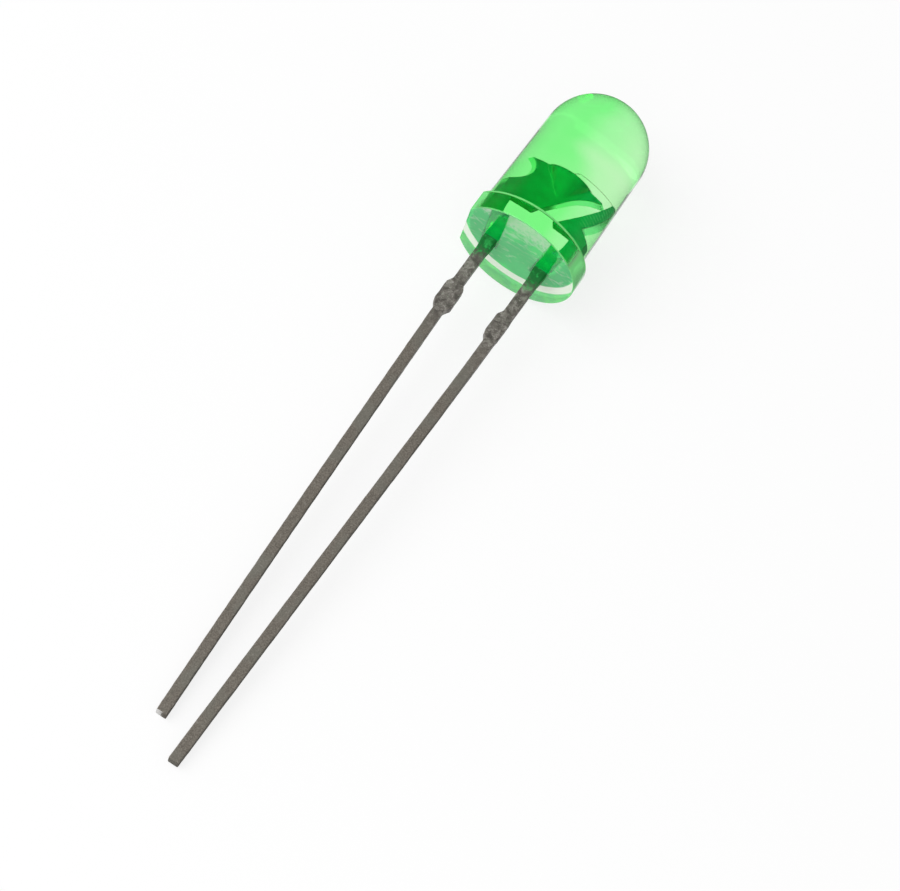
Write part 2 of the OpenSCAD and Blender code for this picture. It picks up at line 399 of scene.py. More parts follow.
class Recipe:
    """A material's node tree, built one step at a time.  Lengths are millimetres."""

    def __init__(self, name: str) -> None:
        """Start an empty material.

        Args:
            name: The material's name.
        """
        self.material = bpy.data.materials.new(name)
        self.material.use_nodes = True
        self._open(self.material.node_tree, "ShaderNodeOutputMaterial")
        self.place = self.node("ShaderNodeTexCoord").outputs["Object"]
        self.facing = self.node("ShaderNodeNewGeometry").outputs["True Normal"]

    def _open(self, tree: bpy.types.NodeTree, output: str) -> None:
        """Empty a node tree and give it its output.

        Args:
            tree: The node tree.
            output: The type of its output node.
        """
        self.tree = tree
        self.tree.nodes.clear()
        self.output = self.node(output)

    def node(self, kind: str, **settings: object) -> bpy.types.Node:
        """Add a node.

        Args:
            kind: The node's type.
            **settings: Its plain properties.

        Returns:
            The node.
        """
        made = self.tree.nodes.new(kind)
        for key, value in settings.items():
            setattr(made, key, value)
        return made

    def feed(self, socket: Socket, value: Value) -> None:
        """Link a socket to an output, or set its own value.

        Args:
            socket: The input socket.
            value: An output to link it to, or a number, a colour or a direction.
        """
        if isinstance(value, bpy.types.NodeSocket):
            self.tree.links.new(value, socket)
        elif socket.type == "RGBA":
            socket.default_value = (*value, 1.0)
        else:
            socket.default_value = value

    def along(self, source: Socket, direction: Vector) -> Socket:
        """Measure a vector along a direction.

        Args:
            source: The vector.
            direction: The direction.

        Returns:
            The share of the vector that points along it.
        """
        dot = self.node("ShaderNodeVectorMath", operation="DOT_PRODUCT")
        self.feed(dot.inputs[0], source)
        self.feed(dot.inputs[1], direction)
        return dot.outputs["Value"]

    def maths(self, operation: str, a: Value, b: Value = 0.0) -> Socket:
        """Do one sum.

        Args:
            operation: Which sum, as the Math node names it.
            a: The first number.
            b: The second number, where the sum has one.

        Returns:
            The result.
        """
        step = self.node("ShaderNodeMath", operation=operation)
        self.feed(step.inputs[0], a)
        self.feed(step.inputs[1], b)
        return step.outputs[0]

    def times(self, a: Value, b: Value) -> Socket:
        """The product of two numbers."""
        return self.maths("MULTIPLY", a, b)

    def plus(self, a: Value, b: Value) -> Socket:
        """The sum of two numbers."""
        return self.maths("ADD", a, b)

    def less(self, a: Value, b: Value) -> Socket:
        """The first number less the second."""
        return self.maths("SUBTRACT", a, b)

    def larger(self, a: Value, b: Value) -> Socket:
        """The larger of two numbers."""
        return self.maths("MAXIMUM", a, b)

    def unsigned(self, a: Value) -> Socket:
        """A number without its sign."""
        return self.maths("ABSOLUTE", a)

    def distance(self, a: Socket, b: Socket) -> Socket:
        """The length of the slope over two sides that are square to each other."""
        squares = self.plus(self.maths("POWER", a, 2.0), self.maths("POWER", b, 2.0))
        return self.maths("SQRT", squares)

    def fade(self, value: Value, start: float, full: float) -> Socket:
        """Fade from 0 to 1, eased at both ends.

        Args:
            value: The number that decides.
            start: Where the result is 0.
            full: Where the result is 1.

        Returns:
            The share.
        """
        eased = self.node("ShaderNodeMapRange", interpolation_type="SMOOTHSTEP")
        self.feed(eased.inputs["Value"], value)
        eased.inputs["From Min"].default_value = start
        eased.inputs["From Max"].default_value = full
        return eased.outputs["Result"]

    def noise(self, grain: Grain, drawn: Vector | None = None) -> Socket:
        """Lay a cloudy pattern on the piece.

        Args:
            grain: The pattern.
            drawn: A direction along which the lumps are drawn out by its length.

        Returns:
            A number from 0 to 1.
        """
        place = self.place
        if drawn is not None:
            shift = self.node("ShaderNodeVectorMath", operation="SCALE")
            shift.inputs[0].default_value = drawn.normalized() * (1 / drawn.length - 1)
            self.feed(shift.inputs["Scale"], self.along(place, drawn.normalized()))
            total = self.node("ShaderNodeVectorMath", operation="ADD")
            self.feed(total.inputs[0], place)
            self.feed(total.inputs[1], shift.outputs["Vector"])
            place = total.outputs["Vector"]
        cloudy = self.node("ShaderNodeTexNoise")
        self.feed(cloudy.inputs["Vector"], place)
        cloudy.inputs["Scale"].default_value = 1 / (grain.width * MM)
        cloudy.inputs["Detail"].default_value = grain.detail
        cloudy.inputs["Distortion"].default_value = grain.twist
        return cloudy.outputs["Fac"]

    def ramp(self, value: Value, *stops: Stop) -> Socket:
        """Run through several colours.

        Args:
            value: The number that decides.
            *stops: Each colour and the number where it stands, in rising order.

        Returns:
            The colour.
        """
        ramp = self.node("ShaderNodeValToRGB")
        self.feed(ramp.inputs["Fac"], value)
        points = ramp.color_ramp.elements
        points[0].position, points[-1].position = stops[0][0], stops[-1][0]
        for position, _ in stops[1:-1]:
            points.new(position)
        for point, (_, colour) in zip(points, stops):
            point.color = (*colour, 1.0)
        return ramp.outputs["Color"]

    def _mix(self, kind: str, first: int, share: Value, a: Value, b: Value) -> bpy.types.Node:
        """Add a Mix node.

        Args:
            kind: What it mixes, as the node names it.
            first: Which of its inputs takes a; the next one takes b.
            share: How much of b there is.
            a: The first value.
            b: The second value.

        Returns:
            The node.
        """
        mix = self.node("ShaderNodeMix", data_type=kind)
        self.feed(mix.inputs["Factor"], share)
        self.feed(mix.inputs[first], a)
        self.feed(mix.inputs[first + 1], b)
        return mix

    def blend(self, share: Value, a: Value, b: Value) -> Socket:
        """The colour a, going over to b as the share rises to 1."""
        return self._mix("RGBA", 6, share, a, b).outputs[2]

    def level(self, share: Value, a: Value, b: Value) -> Socket:
        """The number a, going over to b as the share rises to 1."""
        return self._mix("FLOAT", 2, share, a, b).outputs[0]

    def bump(self, height: Value, depth: float, share: Value) -> Socket:
        """Give the surface a fine relief.

        Args:
            height: The relief, from 0 to 1.
            depth: How deep it is, in millimetres.
            share: How much of it shows.

        Returns:
            The normal.
        """
        relief = self.node("ShaderNodeBump")
        self.feed(relief.inputs["Height"], height)
        relief.inputs["Distance"].default_value = depth * MM
        self.feed(relief.inputs["Strength"], share)
        return relief.outputs["Normal"]

    def show(self, shader: bpy.types.Node) -> None:
        """Make this shader the one that shows."""
        self.tree.links.new(shader.outputs[0], self.output.inputs["Surface"])

    def show_mixed(self, share: Value, first: bpy.types.Node, second: bpy.types.Node) -> None:
        """Show one shader, going over to a second one.

        Args:
            share: How much of the second there is.
            first: The first shader.
            second: The second shader.
        """
        mix = self.node("ShaderNodeMixShader")
        self.feed(mix.inputs[0], share)
        self.feed(mix.inputs[1], first.outputs[0])
        self.feed(mix.inputs[2], second.outputs[0])
        self.show(mix)

    def surface(self, **sockets: Value) -> Material:
        """Finish with one Principled shader.

        Args:
            **sockets: What feeds its sockets, by their names with _ for a space.

        Returns:
            The material.
        """
        shader = self.node("ShaderNodeBsdfPrincipled")
        for key, value in sockets.items():
            self.feed(shader.inputs[key.replace("_", " ")], value)
        self.show(shader)
        return self.material


class WorldRecipe(Recipe):
    """The world's node tree, built in the same way."""

    def __init__(self, name: str) -> None:
        """Start an empty world and put it in the scene.

        Args:
            name: The world's name.
        """
        world = bpy.data.worlds.new(name)
        bpy.context.scene.world = world
        world.use_nodes = True
        self._open(world.node_tree, "ShaderNodeOutputWorld")

    def white(self, strength: Value) -> bpy.types.Node:
        """Add a white background.

        Args:
            strength: How bright it is.

        Returns:
            The shader.
        """
        shader = self.node("ShaderNodeBackground")
        self.feed(shader.inputs["Color"], WHITE)
        self.feed(shader.inputs["Strength"], strength)
        return shader


class LampRecipe(Recipe):
    """A recipe that knows how far each point lies along the lamp's own axes."""

    def __init__(self, name: str, lamp: LampFrame) -> None:
        """Start an empty material and measure along the axes, in millimetres.

        Args:
            name: The material's name.
            lamp: Where the lamp's axes point.
        """
        super().__init__(name)
        self.across = self.along(self.place, lamp.across / MM)
        self.height = self.along(self.place, lamp.axis / MM)
        self.to_front = self.along(self.place, lamp.front / MM)


@dataclass(frozen=True)
class EpoxyFinish:
    """Clear cast epoxy that absorbs red and blue with depth."""

    lamp: LampFrame
    passes: Colour = (0.02, 1.0, 0.05)
    absorbs: float = 60.0
    ior: float = 1.5

    def tint(self, recipe: Recipe) -> None:
        """Add the absorption inside the epoxy.

        Args:
            recipe: The recipe of its skin.
        """
        depth = recipe.node("ShaderNodeVolumeAbsorption")
        recipe.feed(depth.inputs["Color"], self.passes)
        recipe.feed(depth.inputs["Density"], self.absorbs)
        recipe.tree.links.new(depth.outputs[0], recipe.output.inputs["Volume"])


@dataclass(frozen=True)
class MouldedEpoxy(EpoxyFinish):
    """The skin that the polished mould leaves, rubbed dull round the back of the flange, and paler
    on the anode's side as a painted highlight.

    Places are millimetres in the lamp's own frame.  A haze is the share of light that the
    skin scatters instead of letting it through.
    """

    dyed: Colour = (0.30, 1.0, 0.34)
    # pale is a painted highlight: the broad paler swirl towards the anode's side.
    pale: Colour = (0.82, 1.0, 0.75)
    rubbed: Colour = (0.30, 1.0, 0.36)
    worn_edge: Colour = (0.28, 1.0, 0.34)
    lip: Colour = (0.28, 1.0, 0.32)
    swirl_grain: Grain = Grain(2.2, 2.0)
    swirl_reach: float = 1.2
    waist: Fade = (4.6, 3.2)
    waist_shift: float = 0.6
    belly_foot: Fade = (4.0, 5.0)
    belly_top: Fade = (7.4, 6.4)
    belly_shift: float = 0.55
    painted_highlight_side: Fade = (0.4, 1.7)
    flange_top: Fade = (1.04, 1.01)
    wall_top: Fade = (0.99, 0.94)
    wall_back: Fade = (1.7, 0.3)
    wall_ends: Fade = (2.1, 2.45)
    edge_slope: Fade = (0.1, 0.3)
    lip_foot: Fade = (0.89, 0.92)
    rub_grain: Grain = Grain(0.7, 4.0, 0.8)
    rubbed_haze: Range = (0.45, 0.9)
    edge_haze: float = 0.5
    ends_haze: float = 0.7
    lip_haze: float = 0.55
    dull_roughness: float = 0.2
    waves: Grain = Grain(1.1, 2.0)
    wave_relief: float = 0.01
    wave_share: float = 0.3

    def _dye_and_painted_highlight(self, recipe: LampRecipe) -> Socket:
        """Paint a broad paler swirl towards the anode's side into the dye, as a painted highlight.

        Args:
            recipe: The recipe of the skin.

        Returns:
            The dye's colour, with the painted highlight.
        """
        height = recipe.height
        belly = recipe.times(
            recipe.fade(height, *self.belly_foot), recipe.fade(height, *self.belly_top)
        )
        waist = recipe.times(recipe.fade(height, *self.waist), self.waist_shift)
        wander = recipe.times(recipe.noise(self.swirl_grain), self.swirl_reach)
        swirl = recipe.less(recipe.plus(recipe.across, wander), waist)
        swirl = recipe.plus(swirl, recipe.times(belly, self.belly_shift))
        return recipe.blend(recipe.fade(swirl, *self.painted_highlight_side), self.dyed, self.pale)

    def make(self) -> Material:
        """Build the glossy skin with its worn and hazy places.

        Returns:
            The material.
        """
        recipe = LampRecipe("green_epoxy_moulded", self.lamp)
        on_flange = recipe.fade(recipe.height, *self.flange_top)
        on_wall = recipe.fade(recipe.height, *self.wall_top)
        worn = recipe.times(on_wall, recipe.fade(recipe.to_front, *self.wall_back))
        slope = recipe.unsigned(recipe.along(recipe.facing, self.lamp.axis))
        edge = recipe.times(recipe.fade(slope, *self.edge_slope), on_flange)
        lip = recipe.times(recipe.fade(recipe.height, *self.lip_foot), on_flange)
        ends = recipe.times(recipe.fade(recipe.unsigned(recipe.across), *self.wall_ends), on_wall)
        dull = recipe.times(worn, recipe.level(recipe.noise(self.rub_grain), *self.rubbed_haze))
        for place, haze in ((edge, self.edge_haze), (ends, self.ends_haze), (lip, self.lip_haze)):
            dull = recipe.larger(dull, recipe.times(place, haze))
        skin = recipe.blend(worn, self._dye_and_painted_highlight(recipe), self.rubbed)
        skin = recipe.blend(recipe.larger(edge, ends), skin, self.worn_edge)
        self.tint(recipe)
        return recipe.surface(
            Base_Color=recipe.blend(lip, skin, self.lip),
            Transmission_Weight=recipe.less(1.0, dull),
            IOR=self.ior,
            Roughness=recipe.level(dull, 0.0, self.dull_roughness),
            Normal=recipe.bump(recipe.noise(self.waves), self.wave_relief, self.wave_share),
        )


@dataclass(frozen=True)
class OpenFaceEpoxy(EpoxyFinish):
    """The skin that cured in the open: dull and streaky, with a pale ring round its back that is a
    painted highlight.

    The ring lies between two discs, each given as its radius and how far its middle lies
    ahead of the axis.  Ahead of each lead there is a column of clear resin.
    """

    cured: Colour = (0.07, 1.0, 0.27)
    frosted: Colour = (0.60, 0.92, 0.62)
    steeped: Colour = (0.0, 1.0, 0.24)
    # ring is a painted highlight round the back of the open face.
    ring: Colour = (0.92, 1.0, 0.86)
    rim: tuple[Stop, Stop] = ((0.38, (0.15, 0.80, 0.28)), (0.58, (0.20, 1.0, 0.26)))
    rim_grain: Grain = Grain(0.8, 4.0)
    ring_inner: tuple[float, float] = (2.77, 1.37)
    ring_outer: tuple[float, float] = (3.08, 1.21)
    ring_soft: float = 0.08
    lead_x: float = 1.27
    column_w: float = 0.40
    column_soft: float = 0.04
    column_back: Fade = (-0.5, -0.3)
    column_shift: float = 0.04
    column_lean: float = 0.16
    grain: Grain = Grain(0.14, 4.0, 0.6)
    strokes: Grain = Grain(0.32, 3.0, 1.2)
    stroke_length: float = 2.0
    stroke_drift: float = 0.05
    stroke_fade: Fade = (0.52, 0.76)
    stroke_frost: float = 0.7
    # The front band is partly frost and partly a painted reflection.
    front_edge: Fade = (2.0, 2.5)
    front_ragged: float = 0.7
    front_frost_and_reflection: Range = (0.2, 1.6)
    rim_haze: float = 0.6
    ring_highlight_haze: float = 0.92
    cured_haze: Range = (0.5, 0.6)
    steeped_haze: float = 0.2
    dull_roughness: float = 0.06
    stroke_relief: float = 0.01
    stroke_share: float = 0.25

    def _disc(self, recipe: LampRecipe, radius: float, ahead: float) -> Socket:
        """Lay a disc on the open face.

        Args:
            recipe: The recipe of the face.
            radius: The disc's radius.
            ahead: How far its middle lies ahead of the axis.

        Returns:
            1 inside the disc and 0 outside it.
        """
        away = recipe.distance(recipe.across, recipe.less(recipe.to_front, ahead))
        return recipe.fade(away, radius + self.ring_soft / 2, radius - self.ring_soft / 2)

    def _steeped(self, recipe: LampRecipe) -> Socket:
        """Find the face ahead of each lead, where the resin is clear and deep green.

        Args:
            recipe: The recipe of the face.

        Returns:
            1 there and 0 elsewhere.
        """
        lean = recipe.times(recipe.to_front, self.column_lean)
        columns = []
        for middle in (-self.lead_x, recipe.plus(self.lead_x - self.column_shift, lean)):
            beside = recipe.unsigned(recipe.less(recipe.across, middle))
            outer, inner = self.column_w + self.column_soft, self.column_w - self.column_soft
            columns.append(recipe.fade(beside, outer, inner))
        ahead = recipe.fade(recipe.to_front, *self.column_back)
        return recipe.times(recipe.larger(*columns), ahead)

    def _frost(self, recipe: LampRecipe, strokes: Socket) -> Socket:
        """Find where the face is frosted: on pale strokes, and along its front edge, where it is
        partly frost and partly a painted reflection.

        Args:
            recipe: The recipe of the face.
            strokes: The pattern of the strokes.

        Returns:
            How frosted it is, from 0 to 1.
        """
        grain = recipe.noise(self.grain)
        brushed = recipe.plus(strokes, recipe.times(recipe.to_front, self.stroke_drift))
        pale = recipe.times(recipe.fade(brushed, *self.stroke_fade), self.stroke_frost)
        # Along the front edge the pale band is partly frost and partly a painted reflection.
        ragged = recipe.plus(recipe.to_front, recipe.times(grain, self.front_ragged))
        patchy = recipe.level(grain, *self.front_frost_and_reflection)
        front = recipe.times(recipe.fade(ragged, *self.front_edge), patchy)
        return recipe.maths("MINIMUM", recipe.larger(pale, front), 1.0)

    def make(self) -> Material:
        """Build the dull face, its ring, which is a painted highlight, and its rim.

        Returns:
            The material.
        """
        recipe = LampRecipe("green_epoxy_open_face", self.lamp)
        patch = self._disc(recipe, *self.ring_inner)
        within = self._disc(recipe, *self.ring_outer)
        steeped = self._steeped(recipe)
        strokes = recipe.noise(self.strokes, drawn=self.lamp.across * self.stroke_length)
        frost = self._frost(recipe, strokes)
        inner = recipe.blend(frost, self.cured, self.frosted)
        rim = recipe.ramp(recipe.noise(self.rim_grain), *self.rim)
        # The pale ring, in colour and haze, is a painted highlight.
        outer = recipe.blend(within, rim, self.ring)
        outer_haze = recipe.level(within, self.rim_haze, self.ring_highlight_haze)
        haze = recipe.level(patch, outer_haze, recipe.level(frost, *self.cured_haze))
        haze = recipe.level(steeped, haze, self.steeped_haze)
        share = recipe.level(steeped, self.stroke_share, 0.0)
        self.tint(recipe)
        return recipe.surface(
            Base_Color=recipe.blend(steeped, recipe.blend(patch, outer, inner), self.steeped),
            Transmission_Weight=recipe.less(1.0, haze),
            IOR=self.ior,
            Roughness=recipe.level(haze, 0.0, self.dull_roughness),
            Normal=recipe.bump(strokes, self.stroke_relief, share),
        )


class LeadRecipe(LampRecipe):
    """A recipe with the patterns that the tin and the film of resin on it share."""

    MOTTLE = Grain(0.26, 5.0, 0.8)
    FLECKS = Grain(0.08)
    CRINKLE = Grain(0.17, 3.0, 1.0)
    CRINKLE_LENGTH = 1.6

    def __init__(self, name: str, lamp: LampFrame) -> None:
        """Start an empty material and lay the shared patterns on it.

        Args:
            name: The material's name.
            lamp: Where the lamp's axes point.
        """
        super().__init__(name, lamp)
        self.mottle = self.noise(self.MOTTLE)
        self.flecks = self.noise(self.FLECKS)
        self.crinkle = self.noise(self.CRINKLE, drawn=lamp.axis * self.CRINKLE_LENGTH)


@dataclass(frozen=True)
class LeadFinish:
    """Plated steel: mottled dull tin on the leads, bright silver where it is cast in.

    Places are millimetres in the lamp's own frame.  A fade with "facing" in its name goes by
    how squarely a face looks along an axis, and the other ones that aren't places by a grain.
    """

    lamp: LampFrame
    name: str
    length: float
    ridged: bool
    tin_dark: Colour = (0.105, 0.096, 0.085)
    tin_mid: Colour = (0.19, 0.175, 0.154)
    tin_light: Colour = (0.33, 0.312, 0.28)
    tin_stops: tuple[float, float, float] = (0.34, 0.52, 0.72)
    fleck_fade: Fade = (0.60, 0.74)
    vein: Colour = (0.46, 0.44, 0.41)
    vein_at: float = 0.5
    vein_fade: Fade = (0.035, 0.0)
    vein_ground: Fade = (0.4, 0.6)
    vein_share: float = 0.7
    drawn: tuple[Stop, Stop] = ((0.38, (0.15, 0.134, 0.112)), (0.62, (0.23, 0.207, 0.174)))
    drawn_green: Colour = (0.20, 0.198, 0.168)
    drawn_grain: Grain = Grain(0.06, 4.0)
    green_grain: Grain = Grain(1.5, 2.0)
    green_fade: Fade = (0.45, 0.65)
    green_share: float = 0.6
    cluster_grain: Grain = Grain(0.4)
    cluster_fade: Fade = (0.58, 0.70)
    plain_below: Fade = (-3.9, -5.6)
    cut: Colour = (0.86, 0.85, 0.83)
    cut_facing: Fade = (0.6, 0.9)
    cut_above: Fade = (0.06, 0.02)
    bare_side: Fade = (-0.46, -0.60)
    bare_grain: Grain = Grain(0.2)
    bare_ragged: Range = (-0.1, 0.1)
    film: Colour = (0.010, 0.17, 0.035)
    film_pale: Colour = (0.03, 0.42, 0.09)
    film_fade: Fade = (0.5, 0.66)
    film_ragged: float = 1.4
    filmed_above: Fade = (-0.65, 0.15)
    plate: Colour = (0.0, 0.86, 0.27)
    plate_dark: Colour = (0.0, 0.76, 0.23)
    plate_low: Colour = (0.0, 1.0, 0.30)
    plate_grain: Grain = Grain(0.45)
    plate_stops: tuple[float, float] = (0.35, 0.65)
    speck_grain: Grain = Grain(0.05, 2.0)
    speck_fade: Fade = (0.52, 0.70)
    low_below: Fade = (1.5, 1.1)
    # Bare sheared steel, painted brighter than the plate as a highlight.
    sheared: Colour = (0.25, 1.0, 0.42)
    sheared_facing: Fade = (0.75, 0.35)
    sheared_above: Fade = (2.2, 2.6)
    # Painted highlights along the anvil's crease and across the post's ridges.
    crease_and_ridge_highlight: Colour = (0.12, 1.0, 0.40)
    crease_and_ridge_highlight_share: float = 0.8
    resin_above: Fade = (-0.04, 0.04)
    crease_at: tuple[float, float] = (-0.75, 4.0)
    crease_run: tuple[float, float] = (0.85, 0.53)
    crease_grain: Grain = Grain(0.35)
    crease_wander: Range = (-0.06, 0.06)
    crease_fade: Fade = (0.025, 0.005)
    crease_end: Fade = (0.1, -0.1)
    crease_above: Fade = (2.8, 3.0)
    ridge_pitch: tuple[float, float] = (17.0, 40.0)
    ridge_fade: Fade = (0.1, 0.9)
    ridge_grain: Grain = Grain(0.12)
    ridge_gaps: Fade = (0.35, 0.6)
    post_beyond: Fade = (0.9, 1.1)
    post_above: Fade = (2.4, 2.7)
    tin_metallic: float = 0.35
    tin_rough: Range = (0.42, 0.68)
    plate_metallic: float = 0.12
    plate_rough: Range = (0.55, 0.75)
    sheared_metallic: float = 0.85
    sheared_rough: float = 0.25
    relief: float = 0.014
    relief_share: float = 0.8
    gloss: float = 0.25

    def _mottled_tin(self, recipe: LeadRecipe) -> Socket:
        """Colour the crusted, veined tin round the bumps.

        Args:
            recipe: The recipe of the lead.

        Returns:
            The colour.
        """
        shades = (self.tin_dark, self.tin_mid, self.tin_light)
        tin = recipe.ramp(recipe.mottle, *zip(self.tin_stops, shades))
        tin = recipe.blend(recipe.fade(recipe.flecks, *self.fleck_fade), tin, self.tin_light)
        off_vein = recipe.unsigned(recipe.less(recipe.crinkle, self.vein_at))
        light = recipe.fade(recipe.mottle, *self.vein_ground)
        vein = recipe.times(recipe.fade(off_vein, *self.vein_fade), light)
        return recipe.blend(recipe.times(vein, self.vein_share), tin, self.vein)

    def _drawn_tin(self, recipe: LeadRecipe) -> Socket:
        """Colour the even, fine-grained tin of the long plain part.

        Args:
            recipe: The recipe of the lead.

        Returns:
            The colour.
        """
        grain = recipe.ramp(recipe.noise(self.drawn_grain), *self.drawn)
        broad = recipe.fade(recipe.noise(self.green_grain), *self.green_fade)
        tone = recipe.blend(recipe.times(broad, self.green_share), grain, self.drawn_green)
        cluster = recipe.noise(self.cluster_grain)
        clustered = recipe.times(recipe.fade(recipe.flecks, *self.cluster_fade), cluster)
        return recipe.blend(clustered, tone, self.tin_light)

    def _bared(self, recipe: LeadRecipe) -> Socket:
        """Find where the cut end shows bright metal: only on the cathode's outer side.

        Args:
            recipe: The recipe of the lead.

        Returns:
            1 there and 0 elsewhere.
        """
        start, full = (above - self.length for above in self.cut_above)
        facing = recipe.along(recipe.facing, -self.lamp.axis)
        fresh = recipe.fade(facing, *self.cut_facing)
        fresh = recipe.times(fresh, recipe.fade(recipe.height, start, full))
        wander = recipe.level(recipe.noise(self.bare_grain), *self.bare_ragged)
        ragged = recipe.plus(recipe.across, wander)
        return recipe.times(fresh, recipe.fade(ragged, *self.bare_side))

    def _crease(self, recipe: LeadRecipe) -> Socket:
        """Find the painted highlight along the crease that runs down the anvil's face.

        Args:
            recipe: The recipe of the lead.

        Returns:
            1 on the crease and 0 elsewhere.
        """
        (start_x, start_z), (run_x, run_z) = self.crease_at, self.crease_run
        right = recipe.times(recipe.less(recipe.across, start_x), run_x)
        down = recipe.times(recipe.less(recipe.height, start_z), run_z)
        wander = recipe.level(recipe.noise(self.crease_grain), *self.crease_wander)
        off = recipe.unsigned(recipe.plus(recipe.plus(right, down), wander))
        line = recipe.fade(off, *self.crease_fade)
        line = recipe.times(line, recipe.fade(recipe.across, *self.crease_end))
        return recipe.times(line, recipe.fade(recipe.height, *self.crease_above))

    def _ridges(self, recipe: LeadRecipe) -> Socket:
        """Find the painted highlights of the fine ridges across the post.

        Args:
            recipe: The recipe of the lead.

        Returns:
            1 on a ridge and 0 elsewhere.
        """
        per_across, per_height = self.ridge_pitch
        phase = recipe.plus(
            recipe.times(recipe.height, per_height), recipe.times(recipe.across, per_across)
        )
        wave = recipe.fade(recipe.maths("SINE", phase), *self.ridge_fade)
        broken = recipe.times(wave, recipe.fade(recipe.noise(self.ridge_grain), *self.ridge_gaps))
        beyond = recipe.fade(recipe.across, *self.post_beyond)
        on_post = recipe.times(beyond, recipe.fade(recipe.height, *self.post_above))
        return recipe.times(broken, on_post)

    def _plated(self, recipe: LeadRecipe, bare: Socket) -> Socket:
        """Colour the silver plate inside the epoxy, with its bare sheared sides painted bright as
        a highlight.

        Args:
            recipe: The recipe of the lead.
            bare: 1 on the sheared sides and 0 elsewhere.

        Returns:
            The colour.
        """
        shades = zip(self.plate_stops, (self.plate_dark, self.plate))
        plate = recipe.ramp(recipe.noise(self.plate_grain), *shades)
        specks = recipe.fade(recipe.noise(self.speck_grain), *self.speck_fade)
        plate = recipe.blend(specks, plate, self.plate)
        plate = recipe.blend(recipe.fade(recipe.height, *self.low_below), plate, self.plate_low)
        # Painted highlights along the crease or across the ridges.
        marks = self._ridges(recipe) if self.ridged else self._crease(recipe)
        plate = recipe.blend(recipe.times(marks, self.crease_and_ridge_highlight_share), plate, self.crease_and_ridge_highlight)
        # The sheared sides are bare steel, painted bright as a highlight.
        return recipe.blend(bare, plate, self.sheared)

    def _filmed(self, recipe: LeadRecipe, tin: Socket) -> Socket:
        """Lay a ragged film of green resin over the tin near the base.

        Args:
            recipe: The recipe of the lead.
            tin: The colour of the tin.

        Returns:
            The colour of both.
        """
        film = recipe.fade(recipe.mottle, *self.film_fade)
        ragged = recipe.plus(recipe.height, recipe.times(recipe.mottle, self.film_ragged))
        filmed = recipe.fade(ragged, *self.filmed_above)
        return recipe.blend(filmed, tin, recipe.blend(film, self.film, self.film_pale))

    def make(self) -> Material:
        """Build the material for one lead, from its end to its top inside the epoxy.

        Returns:
            The material.
        """
        recipe = LeadRecipe(self.name, self.lamp)
        mottle, flecks = recipe.mottle, recipe.flecks
        plain = recipe.fade(recipe.height, *self.plain_below)
        inside = recipe.fade(recipe.height, *self.resin_above)
        turned_away = recipe.unsigned(recipe.along(recipe.facing, self.lamp.front))
        bare = recipe.fade(turned_away, *self.sheared_facing)
        bare = recipe.times(bare, recipe.fade(recipe.height, *self.sheared_above))
        tin = recipe.blend(plain, self._mottled_tin(recipe), self._drawn_tin(recipe))
        tin = recipe.blend(self._bared(recipe), tin, self.cut)
        crusted = recipe.level(plain, recipe.plus(mottle, recipe.crinkle), flecks)
        dull = recipe.level(mottle, *self.tin_rough)
        bright = recipe.level(bare, recipe.level(flecks, *self.plate_rough), self.sheared_rough)
        metal = recipe.level(bare, self.plate_metallic, self.sheared_metallic)
        relief = recipe.level(inside, crusted, flecks)
        return recipe.surface(
            Base_Color=recipe.blend(inside, self._filmed(recipe, tin), self._plated(recipe, bare)),
            Metallic=recipe.level(inside, self.tin_metallic, metal),
            Roughness=recipe.level(inside, dull, bright),
            Normal=recipe.bump(relief, self.relief, self.relief_share),
            Specular_IOR_Level=self.gloss,
        )


@dataclass(frozen=True)
class GrainyFinish:
    """One substance whose colour and roughness follow one fine grain."""

    name: str
    grain: Grain
    shades: tuple[Stop, Stop]
    metallic: float
    roughness: Range
    relief: float
    relief_share: float

    def make(self) -> Material:
        """Build the material.

        Returns:
            The material.
        """
        recipe = Recipe(self.name)
        grain = recipe.noise(self.grain)
        return recipe.surface(
            Base_Color=recipe.ramp(grain, *self.shades),
            Metallic=self.metallic,
            Roughness=recipe.level(grain, *self.roughness),
            Normal=recipe.bump(grain, self.relief, self.relief_share),
        )


@dataclass(frozen=True)
class PasteFinish(GrainyFinish):
    """Silver-filled adhesive, with flakes."""

    name: str = "silver_paste_flaked"
    grain: Grain = Grain(0.03, 4.0)
    shades: tuple[Stop, Stop] = ((0.35, (0.35, 0.42, 0.36)), (0.65, (0.82, 0.86, 0.82)))
    metallic: float = 0.6
    roughness: Range = (0.6, 0.35)
    relief: float = 0.01
    relief_share: float = 0.6


@dataclass(frozen=True)
class CrystalFinish(GrainyFinish):
    """Sawn semiconductor crystal, dark and slightly shiny."""

    name: str = "die_crystal_sawn"
    grain: Grain = Grain(0.02, 5.0)
    shades: tuple[Stop, Stop] = ((0.3, (0.20, 0.26, 0.06)), (0.7, (0.46, 0.52, 0.15)))
    metallic: float = 0.15
    roughness: Range = (0.12, 0.4)
    relief: float = 0.004
    relief_share: float = 0.6


@dataclass(frozen=True)
class GoldFinish(GrainyFinish):
    """Bright gold of the drawn wire and the pad, with faint drawing marks."""

    name: str = "gold_wire_drawn"
    grain: Grain = Grain(0.012)
    shades: tuple[Stop, Stop] = ((0.3, (1.0, 0.94, 0.68)), (0.7, (1.0, 0.98, 0.80)))
    metallic: float = 0.1
    roughness: Range = (0.25, 0.45)
    relief: float = 0.002
    relief_share: float = 0.5


# --- Pieces --------------------------------------------------------------------------------


